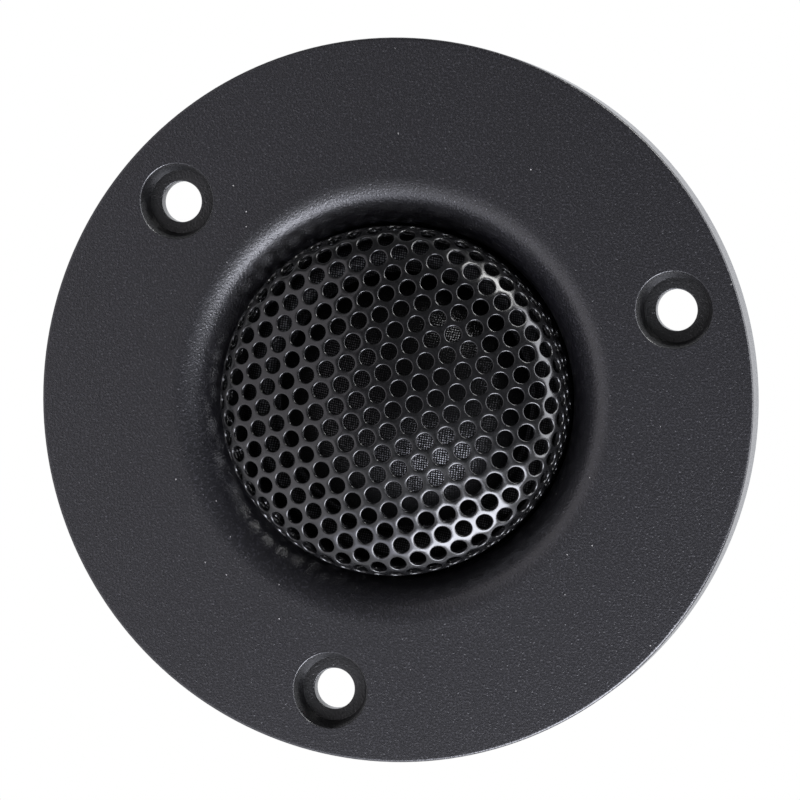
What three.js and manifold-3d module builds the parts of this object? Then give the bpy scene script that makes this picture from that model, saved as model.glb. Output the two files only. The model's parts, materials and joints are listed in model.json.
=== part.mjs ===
// Car tweeter with a round screw-down faceplate, a domed perforated grille and a rear chamber.
// Millimetres. The axis of sound is Y: the front faces -Y, the rear faces +Y, and +Z is up.
// The origin is the centre of the mounting plane, where the rim of the faceplate meets the panel.
import * as THREE from "three";
import { mergeVertices } from "three/addons/utils/BufferGeometryUtils.js";
import Module from "manifold-3d";

const wasm = await Module();
wasm.setup();

// ---- driving dimensions ----
const PLATE = {
  radius: 35,
  front: -5, // front face
  webRear: -1.6, // rear face of the web, inside the skirt
  skirtInner: 33,
  edgeChamfer: 0.3,
  mouthRadius: 21.7, // where the flat face starts to roll into the mouth
  throatRadius: 17.2,
  bossRadius: 23.5,
  bossRear: 3.8,
  pocketRadius: 19,
  pocketFloor: 0.6,
};
const PANEL_HOLES = { count: 3, circle: 28.8, firstAngle: 17.84, throughRadius: 2 };
const SEAT = { rimRadius: 3.8, floorRadius: 3.1, floor: -3.05 };
const GRILLE = {
  apex: -11.2,
  thickness: 0.5,
  crownRadius: 41, // of the domed crown, at the middle of the sheet
  kneeStart: 13.7, // distances along the sheet between which the crown turns down into the wall
  kneeEnd: 19.8,
  wallRear: 0.7,
  flangeRadius: 18.6,
  pitch: 2.111,
  holeRadius: 0.79,
  rowAngle: 15.57,
  latticeX: -0.1,
  latticeZ: 0.79,
  perforatedArc: 12.2,
  shoulderStations: [13.6, 15.2, 16.4, 17.5, 18.6, 19.8], // distances along the sheet
};
const DOME = { edgeRadius: 12.6, edge: 1.9, height: 7, thickness: 0.35 };
const SURROUND = { inner: 12.75, rollInner: 13, rollOuter: 16.2, outer: 18.6, thickness: 0.3 };
const FORMER = { inner: 12.45, outer: 12.7, front: 2.15, rear: 7.2 };
const WINDING = { inner: 12.75, outer: 13.1, front: 3.35, rear: 6.85 };
const RING = { inner: 16.4, outer: 18.7, front: 2.1, rear: 3.75 };
const TOP_PLATE = { inner: 13.5, outer: 17.6, front: 3.85, rear: 6.35 };
const MAGNET = { inner: 14.6, outer: 17.3, front: 6.4, rear: 11.5 };
const YOKE = { vent: 4, pole: 11.95, outer: 17.6, poleFront: 3.4, plateFront: 11.55, rear: 14.05 };
const CAP = { hole: 4.5, outer: 12.2, inner: 12, front: 3.1, rear: 7.4, sheet: 0.2 };
const FELT = { inner: 4.5, outer: 10.5, front: 1.3, rear: 3 };
const CHAMBER = {
  outer: 19.2,
  motorBore: 17.9,
  airBore: 16.4,
  shoulder: 14.15,
  flangeRadius: 23.4,
  flangeFront: 4,
  flangeRear: 6,
  floor: 20.3,
  rear: 22.3,
  rearChamfer: 1,
};
const WOOL = { radius: 15.8, front: 14.5, rear: 19.9, crown: 1.2 };
const CHAMBER_SCREWS = { circle: 21.4, angles: [90, 210, 330], shank: 0.95, hole: 1.15, tip: 0, head: 1.8 };
const BOARD = { width: 18, height: 10, centreZ: -4, front: 22.5, thickness: 1.6, corner: 1.5 };
const TAB = { footBottom: -7, blade: -1.2, thickness: 0.5, foot: 24.3, tip: 31, hole: 0.7 };
const TERMINAL_X = 4.5;
const RIVET = { z: -3.6, head: 1.5, shank: 0.8, headFront: 24.9, headRear: 25.5, tip: 21.4, hole: 1 };
const LEAD = { radius: 0.55, x: 1.3, sides: 8, steps: 26 };
const LEAD_WINDOW = { halfWidth: 3.3, depth: 2 };
const COIL_TAB = { width: 1.3, thickness: 0.3, front: 3.4, inner: 16.5, outer: 18.3, rear: 4.7 };

const FINE = 48; // facets round the visible turned parts
const COARSE = 32; // facets round the inner turned parts

// ---- materials ----
const finish = (color, metalness, roughness) =>
  new THREE.MeshStandardMaterial({ color, metalness, roughness });
const blackCoat = finish(0x2c2c30, 0.2, 0.55);
const blackSteel = finish(0x1d1d20, 0.6, 0.3);
const silk = finish(0x232022, 0, 0.6);
const foam = finish(0x18181a, 0, 0.95);
const blackPlastic = finish(0x1b1b1d, 0, 0.5);
const amberFilm = finish(0xb8782a, 0, 0.4);
const copper = finish(0xb5673a, 0.9, 0.3);
const zincSteel = finish(0xaeb2b6, 0.9, 0.35);
const nickel = finish(0xc9c7c0, 1, 0.2);
const greyFelt = finish(0x5a5a5c, 0, 1);
const whiteWool = finish(0xd8d6cf, 0, 1);
const boardBrown = finish(0x5b3a20, 0, 0.6);
const brass = finish(0xc9a24a, 0.9, 0.3);
const blackZinc = finish(0x2a2a2c, 0.8, 0.4);
const redSleeve = finish(0xa01a1a, 0, 0.45);
const blackSleeve = finish(0x151516, 0, 0.45);

// ---- helpers ----
const radians = (degrees) => (degrees * Math.PI) / 180;
const round = (radius, degrees) =>
  new THREE.Vector3(radius * Math.cos(radians(degrees)), 0, radius * Math.sin(radians(degrees)));

// A turned piece: the profile is a list of [radius, y] points that closes on itself or ends on the axis.
function turned(profile, facets = COARSE) {
  const points = profile.map(([r, y]) => new THREE.Vector2(r, y));
  const onAxis = profile[0][0] === 0 && profile.at(-1)[0] === 0;
  return new THREE.LatheGeometry(onAxis ? points : [...points, points[0].clone()], facets);
}

// A plain turned ring or tube between two radii and two planes.
const tube = (inner, outer, front, rear, facets) =>
  turned([[inner, front], [inner, rear], [outer, rear], [outer, front]].reverse(), facets);

const rod = (radius, front, rear, sides, frontRadius = radius) =>
  new THREE.CylinderGeometry(radius, frontRadius, rear - front, sides).translate(0, (front + rear) / 2, 0);

const box = (x, y, z) =>
  new THREE.BoxGeometry(x[1] - x[0], y[1] - y[0], z[1] - z[0])
    .translate((x[0] + x[1]) / 2, (y[0] + y[1]) / 2, (z[0] + z[1]) / 2);

function solid(geometry) {
  const bare = geometry.clone();
  bare.deleteAttribute("normal");
  bare.deleteAttribute("uv");
  const merged = mergeVertices(bare, 1e-4);
  return new wasm.Manifold(
    new wasm.Mesh({
      numProp: 3,
      vertProperties: merged.attributes.position.array,
      triVerts: new Uint32Array(merged.index.array),
    }),
  );
}

function geometryOf(manifold) {
  const mesh = manifold.getMesh();
  const geometry = new THREE.BufferGeometry();
  geometry.setAttribute("position", new THREE.BufferAttribute(mesh.vertProperties, 3));
  geometry.setIndex(new THREE.BufferAttribute(mesh.triVerts, 1));
  geometry.computeVertexNormals();
  return geometry;
}

const cut = (geometry, cutters) =>
  geometryOf(cutters.reduce((body, cutter) => body.subtract(solid(cutter)), solid(geometry)));
const join = (geometry, others) =>
  geometryOf(others.reduce((body, other) => body.add(solid(other)), solid(geometry)));

const at = (geometry, place) => geometry.translate(place.x, place.y, place.z);
const panelHoleAngles = Array.from(
  { length: PANEL_HOLES.count },
  (_, i) => PANEL_HOLES.firstAngle + (i * 360) / PANEL_HOLES.count,
);

// Points of an arc round (r, y) from one angle to another, in degrees from the +radius direction.
const arc = (r, y, radius, from, to, steps) =>
  Array.from({ length: steps + 1 }, (_, i) => {
    const angle = radians(from + ((to - from) * i) / steps);
    return [r + radius * Math.cos(angle), y + radius * Math.sin(angle)];
  });

// ---- faceplate and its gasket ----
function faceplate() {
  const p = PLATE;
  const roll = p.mouthRadius - p.throatRadius;
  const profile = [
    ...arc(p.mouthRadius, p.front + roll, roll, 180, 270, 6),
    [p.radius - p.edgeChamfer, p.front],
    [p.radius, p.front + p.edgeChamfer],
    [p.radius, 0],
    [p.skirtInner, 0],
    [p.skirtInner, p.webRear],
    [p.bossRadius, p.webRear],
    [p.bossRadius, p.bossRear],
    [p.pocketRadius, p.bossRear],
    [p.pocketRadius, p.pocketFloor],
    [p.throatRadius, p.pocketFloor],
  ];
  const cutters = [];
  for (const angle of panelHoleAngles) {
    const place = round(PANEL_HOLES.circle, angle);
    const slope = (SEAT.rimRadius - SEAT.floorRadius) / (SEAT.floor - p.front);
    cutters.push(at(rod(PANEL_HOLES.throughRadius, p.front, 1, 20), place));
    cutters.push(at(rod(SEAT.floorRadius, p.front - 1, SEAT.floor, 32, SEAT.rimRadius + slope), place));
  }
  for (const angle of CHAMBER_SCREWS.angles) {
    const bore = rod(CHAMBER_SCREWS.hole, CHAMBER_SCREWS.tip - 0.6, p.bossRear + 1, 12);
    cutters.push(at(bore, round(CHAMBER_SCREWS.circle, angle)));
  }
  return cut(turned(profile, FINE), cutters);
}

const flangeGasket = () =>
  cut(
    tube(PLATE.bossRadius + 0.5, PLATE.skirtInner - 0.4, PLATE.webRear + 0.1, -0.3, COARSE),
    panelHoleAngles.map((angle) =>
      at(rod(PANEL_HOLES.throughRadius + 0.7, PLATE.webRear - 1, 1, 16), round(PANEL_HOLES.circle, angle)),
    ),
  );

// ---- grille ----
// Follows the middle of the formed sheet outward from the apex: a round crown, then a knee down to a
// plain wall.
function grilleSection() {
  const { crownRadius, kneeStart, kneeEnd } = GRILLE;
  const step = 0.02;
  const turn = Math.PI / 2 - kneeEnd / crownRadius;
  const section = [];
  let [r, y] = [0, GRILLE.apex + GRILLE.thickness / 2];
  for (let s = 0; y < GRILLE.wallRear; s += step) {
    const knee = THREE.MathUtils.smoothstep(s, kneeStart, kneeEnd);
    const slope = Math.min(s, kneeEnd) / crownRadius + turn * knee;
    section.push({ s, r, y, slope });
    r += step * Math.cos(slope);
    y += step * Math.sin(slope);
  }
  return section;
}

// A point of the formed sheet, at a distance s from the apex and a depth below the front surface.
const section = grilleSection();
function sheetPoint(s, depth = 0) {
  const { r, y, slope } = section[Math.min(Math.round(s / section[1].s), section.length - 1)];
  const inward = depth - GRILLE.thickness / 2;
  return [s === 0 ? 0 : r - inward * Math.sin(slope), y + inward * Math.cos(slope)];
}

// The perforated crown is a honeycomb of cells. A cell's corners are counted in thirds of the pitch along
// the two row directions, so neighbours share them exactly.
const CELL_CORNERS = [[1, 1], [-1, 2], [-2, 1], [-1, -1], [1, -2], [2, -1]];

function flatPoint(thirdsA, thirdsB) {
  const [a, b] = [radians(GRILLE.rowAngle), radians(GRILLE.rowAngle + 60)];
  const step = GRILLE.pitch / 3;
  return [
    GRILLE.latticeX + step * (thirdsA * Math.cos(a) + thirdsB * Math.cos(b)),
    GRILLE.latticeZ + step * (thirdsA * Math.sin(a) + thirdsB * Math.sin(b)),
  ];
}

function formed([x, z], depth) {
  const s = Math.hypot(x, z);
  const [r, y] = sheetPoint(s, depth);
  return [(x * r) / s, y, (z * r) / s];
}

function perforatedCells() {
  const reach = Math.ceil(GRILLE.perforatedArc / GRILLE.pitch) + 2;
  const cells = new Map();
  for (let i = -reach; i <= reach; i++)
    for (let j = -reach; j <= reach; j++)
      if (Math.hypot(...flatPoint(3 * i, 3 * j)) <= GRILLE.perforatedArc) cells.set(i + "," + j, [i, j]);
  return cells;
}

// Collects triangles of the front, rear and edge surfaces of the sheet.
class Skin {
  constructor() {
    this.positions = [];
  }
  triangle(p, q, r) {
    this.positions.push(...p, ...q, ...r);
  }
  quad(p, q, r, s) {
    this.triangle(p, q, r);
    this.triangle(p, r, s);
  }
  geometry() {
    const geometry = new THREE.BufferGeometry();
    return geometry.setAttribute("position", new THREE.Float32BufferAttribute(this.positions, 3));
  }
}

// Adds each cell as a ring of flat faces round a six-sided hole, front and rear, with the wall of the hole.
// Returns the outline of the honeycomb as a closed loop of flat points.
function addCells(skin, cells, holeShare) {
  const neighbours = [[0, 1], [-1, 1], [-1, 0], [0, -1], [1, -1], [1, 0]];
  const t = GRILLE.thickness;
  const next = new Map();
  for (const [i, j] of cells.values()) {
    const centre = flatPoint(3 * i, 3 * j);
    const corners = CELL_CORNERS.map(([a, b]) => [3 * i + a, 3 * j + b]);
    const outline = corners.map((corner) => flatPoint(...corner));
    const hole = outline.map((p) =>
      p.map((value, axis) => centre[axis] + (value - centre[axis]) * holeShare),
    );
    for (let k = 0; k < 6; k++) {
      const after = (k + 1) % 6;
      const [o1, o2, h1, h2] = [outline[k], outline[after], hole[k], hole[after]];
      skin.quad(formed(o1, 0), formed(o2, 0), formed(h2, 0), formed(h1, 0));
      skin.quad(formed(h1, t), formed(h2, t), formed(o2, t), formed(o1, t));
      skin.quad(formed(h1, 0), formed(h2, 0), formed(h2, t), formed(h1, t));
      const [di, dj] = neighbours[k];
      if (!cells.has(i + di + "," + (j + dj))) next.set(corners[k].join(), corners[after]);
    }
  }
  const loop = [];
  const start = [...next.keys()][0];
  let key = start;
  do {
    loop.push(flatPoint(...key.split(",").map(Number)));
    key = next.get(key).join();
  } while (key !== start);
  return loop;
}

// Joins two loops of points that run the same way; the second may have half as many points as the first.
function addBelt(skin, first, second) {
  const [n, m] = [first.length, second.length];
  if (m > n) return addBeltBack(skin, first, second);
  for (let i = 0; i < n; i++) {
    const [p, q] = [first[i], first[(i + 1) % n]];
    if (m === n) skin.quad(q, p, second[i], second[(i + 1) % m]);
    else if (i % 2 === 0) skin.triangle(q, p, second[i / 2]);
    else {
      const [r, s] = [second[(i - 1) / 2], second[((i + 1) / 2) % m]];
      skin.triangle(p, r, s);
      skin.triangle(q, p, s);
    }
  }
}

function addBeltBack(skin, first, second) {
  const mirrored = new Skin();
  addBelt(mirrored, second, first);
  for (let i = 0; i < mirrored.positions.length; i += 9) {
    const [p, q, r] = [0, 3, 6].map((k) => mirrored.positions.slice(i + k, i + k + 3));
    skin.triangle(p, r, q);
  }
}

// The perforated crown, the plain shoulder and wall, and the flange that the faceplate clamps.
function grille() {
  const t = GRILLE.thickness;
  const skin = new Skin();
  const cornerRadius = GRILLE.pitch / Math.sqrt(3);
  const holeShare = (GRILLE.holeRadius * 1.1) / cornerRadius; // a hexagon of the area of the round hole
  const outline = addCells(skin, perforatedCells(), holeShare);
  const angles = outline.map(([x, z]) => Math.atan2(z, x));
  const everyOther = angles.filter((_, i) => i % 2 === 0);
  const circle = (directions, [r, y]) => directions.map((a) => [r * Math.cos(a), y, r * Math.sin(a)]);
  const wall = section.at(-1).r + t / 2;
  const flangeRear = GRILLE.wallRear + t;
  const [plain, ...bend] = GRILLE.shoulderStations;
  const belts = [
    outline.map((p) => formed(p, 0)),
    circle(angles, sheetPoint(plain)),
    ...bend.map((s) => circle(everyOther, sheetPoint(s))),
    circle(everyOther, [wall, GRILLE.wallRear]),
    circle(everyOther, [GRILLE.flangeRadius, GRILLE.wallRear]),
    circle(everyOther, [GRILLE.flangeRadius, flangeRear]),
    circle(everyOther, [wall - t, flangeRear]),
    ...bend.toReversed().map((s) => circle(everyOther, sheetPoint(s, t))),
    circle(angles, sheetPoint(plain, t)),
    outline.map((p) => formed(p, t)),
  ];
  for (let i = 1; i < belts.length; i++) addBelt(skin, belts[i - 1], belts[i]);
  return geometryOf(solid(skin.geometry()));
}

const diaphragmGasket = () => tube(16.7, 18.6, 1.3, 1.65);

// ---- diaphragm: dome, surround, former and winding ----
function dome() {
  const radius = (DOME.edgeRadius ** 2 + DOME.height ** 2) / (2 * DOME.height);
  const centre = DOME.edge - DOME.height + radius;
  const edgeAngle = THREE.MathUtils.radToDeg(Math.asin(DOME.edgeRadius / radius));
  const outer = arc(0, centre, radius, -90, -90 + edgeAngle, 6);
  const inner = arc(0, centre, radius - DOME.thickness, -90 + edgeAngle, -90, 6);
  outer[0][0] = 0;
  inner.at(-1)[0] = 0;
  return turned([...outer, ...inner], COARSE);
}

function surround() {
  const half = SURROUND.thickness / 2;
  const middle = (SURROUND.rollInner + SURROUND.rollOuter) / 2;
  const roll = (SURROUND.rollOuter - SURROUND.rollInner) / 2;
  return turned([
    [SURROUND.inner, DOME.edge - half],
    ...arc(middle, DOME.edge - half, roll, 180, 360, 6),
    [SURROUND.outer, DOME.edge - half],
    [SURROUND.outer, DOME.edge + half],
    ...arc(middle, DOME.edge + half, roll - half, 360, 180, 6),
    [SURROUND.inner, DOME.edge + half],
  ]);
}

// ---- diaphragm ring, its solder tabs and the fine leads to the coil ----
const coilTabSpan = (side) => [
  side * LEAD.x * 1.6 - COIL_TAB.width / 2,
  side * LEAD.x * 1.6 + COIL_TAB.width / 2,
];

const diaphragmRing = () =>
  cut(
    tube(RING.inner, RING.outer, RING.front, RING.rear),
    [-1, 1].map((side) => {
      const [low, high] = coilTabSpan(side);
      return box([low - 0.3, high + 0.3], [COIL_TAB.front - 0.1, RING.rear + 1], [-20, -15]);
    }),
  );

const coilTab = (side) =>
  join(
    box(
      coilTabSpan(side),
      [COIL_TAB.front, COIL_TAB.front + COIL_TAB.thickness],
      [-COIL_TAB.outer - COIL_TAB.thickness, -COIL_TAB.inner],
    ),
    [
      box(
        coilTabSpan(side),
        [COIL_TAB.front, COIL_TAB.rear],
        [-COIL_TAB.outer - COIL_TAB.thickness, -COIL_TAB.outer],
      ),
    ],
  );

// A wire of a round section along a smooth route.
function wire(points, radius, sides, steps) {
  const outline = new THREE.Shape(
    Array.from({ length: sides }, (_, i) => {
      const angle = (i * 2 * Math.PI) / sides;
      return new THREE.Vector2(radius * Math.cos(angle), radius * Math.sin(angle));
    }),
  );
  const stations = points.map((p) => new THREE.Vector3(...p));
  const extrudePath = new THREE.CatmullRomCurve3(stations, false, "centripetal");
  return new THREE.ExtrudeGeometry(outline, { steps, bevelEnabled: false, extrudePath });
}

const tinselLead = (side) =>
  wire(
    [
      [side * 2, 2.75, -13],
      [side * 2.2, 2.75, -14],
      [side * 2.1, 3.05, -15],
      [side * 2.08, 3, -16],
      [side * 2.08, 2.95, -16.15],
    ],
    0.2,
    6,
    8,
  );

const lead = (side) =>
  wire(
    [
      [side * LEAD.x, 5, -18.3],
      [side * LEAD.x, 5, -19.2],
      [side * LEAD.x, 6.6, -20.1],
      [side * LEAD.x, 9, -20.1],
      [side * LEAD.x, 15, -20.1],
      [side * LEAD.x, 20.4, -20.1],
      [side * (LEAD.x + 0.2), 23.2, -19.4],
      [side * (LEAD.x + 1), 24.7, -17],
      [side * (LEAD.x + 2.3), 25.5, -12],
      [side * TERMINAL_X, 25.6, -8],
      [side * TERMINAL_X, 25.6, -5.6],
    ],
    LEAD.radius,
    LEAD.sides,
    LEAD.steps,
  );

// ---- motor ----
const yoke = () =>
  turned(
    [
      [YOKE.vent, YOKE.poleFront],
      [YOKE.pole, YOKE.poleFront],
      [YOKE.pole, YOKE.plateFront],
      [YOKE.outer, YOKE.plateFront],
      [YOKE.outer, YOKE.rear],
      [YOKE.vent, YOKE.rear],
    ],
  );

const copperCap = () =>
  turned(
    [
      [CAP.hole, CAP.front],
      [CAP.outer, CAP.front],
      [CAP.outer, CAP.rear],
      [CAP.inner, CAP.rear],
      [CAP.inner, CAP.front + CAP.sheet],
      [CAP.hole, CAP.front + CAP.sheet],
    ],
  );

// ---- rear chamber ----
const rivetHole = (side, front, rear) =>
  at(rod(RIVET.hole, front, rear, 12), new THREE.Vector3(side * TERMINAL_X, 0, RIVET.z));

function rearChamber() {
  const c = CHAMBER;
  const profile = [
    [0, c.floor],
    [c.airBore, c.floor],
    [c.airBore, c.shoulder],
    [c.motorBore, c.shoulder],
    [c.motorBore, c.flangeFront],
    [c.flangeRadius, c.flangeFront],
    [c.flangeRadius, c.flangeRear],
    [c.outer, c.flangeRear],
    [c.outer, c.rear - c.rearChamfer],
    [c.outer - c.rearChamfer, c.rear],
    [0, c.rear],
  ];
  const ribs = [-1, 1].map((side) => {
    const x = [side * 2.4, side * 3.2].sort((a, b) => a - b);
    return box(x, [c.flangeRear + 2, c.rear - 2.3], [-c.outer - 1.8, -c.outer + 0.6]);
  });
  const window = box(
    [-LEAD_WINDOW.halfWidth, LEAD_WINDOW.halfWidth],
    [c.flangeFront - 1, c.flangeFront + LEAD_WINDOW.depth],
    [-c.flangeRadius - 1, -c.motorBore + 1],
  );
  const screwHoles = CHAMBER_SCREWS.angles.map((angle) => {
    const hole = rod(CHAMBER_SCREWS.hole, c.flangeFront - 1, c.flangeRear + 1, 12);
    return at(hole, round(CHAMBER_SCREWS.circle, angle));
  });
  const rivetHoles = [-1, 1].map((side) => rivetHole(side, RIVET.tip - 0.2, c.rear + 1));
  return cut(join(turned(profile), ribs), [window, ...screwHoles, ...rivetHoles]);
}

const dampingWool = () =>
  turned([
    [0, WOOL.front],
    [WOOL.radius - 1, WOOL.front],
    [WOOL.radius, WOOL.front + WOOL.crown],
    [WOOL.radius, WOOL.rear - WOOL.crown],
    [WOOL.radius - 1, WOOL.rear],
    [0, WOOL.rear],
  ]);

// A pan-head screw with a cross recess, pointing forward from the chamber's flange.
function chamberScrew(angle) {
  const head = CHAMBER.flangeRear + 0.1;
  const profile = [
    [0, CHAMBER_SCREWS.tip],
    [CHAMBER_SCREWS.shank * 0.6, CHAMBER_SCREWS.tip],
    [CHAMBER_SCREWS.shank, CHAMBER_SCREWS.tip + 1],
    [CHAMBER_SCREWS.shank, head],
    [CHAMBER_SCREWS.head, head],
    [CHAMBER_SCREWS.head, head + 0.6],
    [CHAMBER_SCREWS.head * 0.7, head + 1.2],
    [0, head + 1.4],
  ];
  const slot = (x, z) => box([-x, x], [head + 0.6, head + 2], [-z, z]);
  const screw = cut(turned(profile, 16), [slot(0.9, 0.2), slot(0.2, 0.9)]);
  return at(screw, round(CHAMBER_SCREWS.circle, angle));
}

// ---- terminals ----
function terminalBoard() {
  const [w, h, r] = [BOARD.width / 2, BOARD.height / 2, BOARD.corner];
  const outline = new THREE.Shape();
  outline.moveTo(-w + r, -h);
  outline.lineTo(w - r, -h);
  outline.absarc(w - r, -h + r, r, -Math.PI / 2, 0);
  outline.lineTo(w, h - r);
  outline.absarc(w - r, h - r, r, 0, Math.PI / 2);
  outline.lineTo(-w + r, h);
  outline.absarc(-w + r, h - r, r, Math.PI / 2, Math.PI);
  outline.lineTo(-w, -h + r);
  outline.absarc(-w + r, -h + r, r, Math.PI, 1.5 * Math.PI);
  const settings = { depth: BOARD.thickness, bevelEnabled: false, curveSegments: 4 };
  const sheet = new THREE.ExtrudeGeometry(outline, settings);
  sheet.rotateX(Math.PI / 2).translate(0, BOARD.front + BOARD.thickness, BOARD.centreZ);
  return cut(sheet, [-1, 1].map((side) => rivetHole(side, BOARD.front - 1, TAB.foot + 1)));
}

// A flat terminal: a foot riveted to the board and a blade of the given width that stands up behind it.
function terminal(side, width) {
  const x = [side * TERMINAL_X - width / 2, side * TERMINAL_X + width / 2];
  const foot = box(x, [TAB.foot, TAB.foot + TAB.thickness], [TAB.footBottom, TAB.blade + TAB.thickness]);
  const blade = box(x, [TAB.foot, TAB.tip], [TAB.blade, TAB.blade + TAB.thickness]);
  const eye = rod(TAB.hole, -2, 2, 12).rotateX(Math.PI / 2);
  return cut(join(foot, [blade]), [
    rivetHole(side, TAB.foot - 1, TAB.foot + 2),
    at(eye, new THREE.Vector3(side * TERMINAL_X, TAB.tip - 2, TAB.blade)),
  ]);
}

const rivet = (side) =>
  turned(
    [
      [0, RIVET.tip],
      [RIVET.shank, RIVET.tip],
      [RIVET.shank, RIVET.headFront],
      [RIVET.head, RIVET.headFront],
      [RIVET.head * 0.8, RIVET.headRear],
      [0, RIVET.headRear],
    ],
    12,
  ).translate(side * TERMINAL_X, 0, RIVET.z);

// ---- assembly ----
const tweeter = new THREE.Group();
function add(name, geometry, material) {
  const mesh = new THREE.Mesh(geometry, material);
  mesh.name = name;
  tweeter.add(mesh);
}

add("faceplate", faceplate(), blackCoat);
add("flange_gasket", flangeGasket(), foam);
add("grille", grille(), blackSteel);
add("diaphragm_gasket", diaphragmGasket(), foam);
add("dome", dome(), silk);
add("surround", surround(), silk);
add("voice_coil_former", tube(FORMER.inner, FORMER.outer, FORMER.front, FORMER.rear), amberFilm);
add("voice_coil_winding", tube(WINDING.inner, WINDING.outer, WINDING.front, WINDING.rear), copper);
add("diaphragm_ring", diaphragmRing(), blackPlastic);
add("top_plate", tube(TOP_PLATE.inner, TOP_PLATE.outer, TOP_PLATE.front, TOP_PLATE.rear), zincSteel);
add("magnet_ring", tube(MAGNET.inner, MAGNET.outer, MAGNET.front, MAGNET.rear), nickel);
add("t_yoke", yoke(), zincSteel);
add("copper_cap", copperCap(), copper);
add("pole_felt", tube(FELT.inner, FELT.outer, FELT.front, FELT.rear, 32), greyFelt);
add("rear_chamber", rearChamber(), blackPlastic);
add("damping_wool", dampingWool(), whiteWool);
CHAMBER_SCREWS.angles.forEach((angle, i) => {
  add("chamber_screw_" + (i + 1), chamberScrew(angle), blackZinc);
});
add("terminal_board", terminalBoard(), boardBrown);
add("terminal_positive", terminal(1, 4.8), brass);
add("terminal_negative", terminal(-1, 2.8), brass);
add("rivet_positive", rivet(1), brass);
add("rivet_negative", rivet(-1), brass);
add("coil_tab_positive", coilTab(1), brass);
add("coil_tab_negative", coilTab(-1), brass);
add("tinsel_lead_positive", tinselLead(1), copper);
add("tinsel_lead_negative", tinselLead(-1), copper);
add("lead_positive", lead(1), redSleeve);
add("lead_negative", lead(-1), blackSleeve);

export default tweeter;
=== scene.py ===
# Looks of the car tweeter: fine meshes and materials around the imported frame.
# Lengths in the builders are millimetres; meshes are written in metres. The front faces -Y, +Z is up.
import json
import math

import bmesh
import bpy
from mathutils import Matrix, Vector


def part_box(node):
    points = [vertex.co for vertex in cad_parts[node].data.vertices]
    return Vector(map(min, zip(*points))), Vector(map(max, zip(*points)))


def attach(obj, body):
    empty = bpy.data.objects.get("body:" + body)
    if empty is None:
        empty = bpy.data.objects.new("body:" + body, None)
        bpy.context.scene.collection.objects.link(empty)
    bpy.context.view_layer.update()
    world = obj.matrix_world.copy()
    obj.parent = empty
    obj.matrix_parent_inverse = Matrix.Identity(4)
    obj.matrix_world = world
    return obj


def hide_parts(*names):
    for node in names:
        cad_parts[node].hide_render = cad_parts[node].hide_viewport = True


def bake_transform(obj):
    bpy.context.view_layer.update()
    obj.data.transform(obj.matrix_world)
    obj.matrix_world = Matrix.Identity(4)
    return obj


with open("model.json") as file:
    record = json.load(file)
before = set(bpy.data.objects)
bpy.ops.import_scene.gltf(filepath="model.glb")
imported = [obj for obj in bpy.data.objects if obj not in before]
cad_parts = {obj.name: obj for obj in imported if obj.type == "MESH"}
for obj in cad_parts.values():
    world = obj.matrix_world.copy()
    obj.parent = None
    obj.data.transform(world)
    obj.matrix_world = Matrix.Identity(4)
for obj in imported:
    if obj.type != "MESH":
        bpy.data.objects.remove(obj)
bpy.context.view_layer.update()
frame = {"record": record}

MM = 0.001
HOUSING, DIAPHRAGM = "housing", "diaphragm"
POLES = {"positive": 1, "negative": -1}  # the electrical poles, each with its side along X
RIVETS = ["rivet_" + pole for pole in POLES]
CHAMBER_SCREWS = [f"chamber_screw_{number}" for number in (1, 2, 3)]
RING_STEPS = 192


def span(node):
    """The lowest and highest corner of a CAD node, in millimetres."""
    low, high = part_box(node)
    return low / MM, high / MM


# ---- camera ----
def make_camera():
    """A long lens, a little to the right of the axis and a little above it."""
    azimuth, elevation = math.radians(11.65), math.radians(1.94)
    distance, aim_x, aim_z = 0.3724, 0.00086, 0.0001  # metres
    target = Vector((aim_x, span("faceplate")[0].y * MM, aim_z))
    back = Vector((
        math.sin(azimuth) * math.cos(elevation),
        -math.cos(azimuth) * math.cos(elevation),
        math.sin(elevation),
    ))
    data = bpy.data.cameras.new("camera")
    data.sensor_width = 36
    data.lens = 173.7
    data.clip_start = 0.01
    camera = bpy.data.objects.new("camera", data)
    camera.location = Vector((0, target.y, 0)) + back * distance
    camera.rotation_euler = (target - camera.location).to_track_quat("-Z", "Y").to_euler()
    bpy.context.scene.collection.objects.link(camera)
    bpy.context.scene.camera = camera


make_camera()


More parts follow.
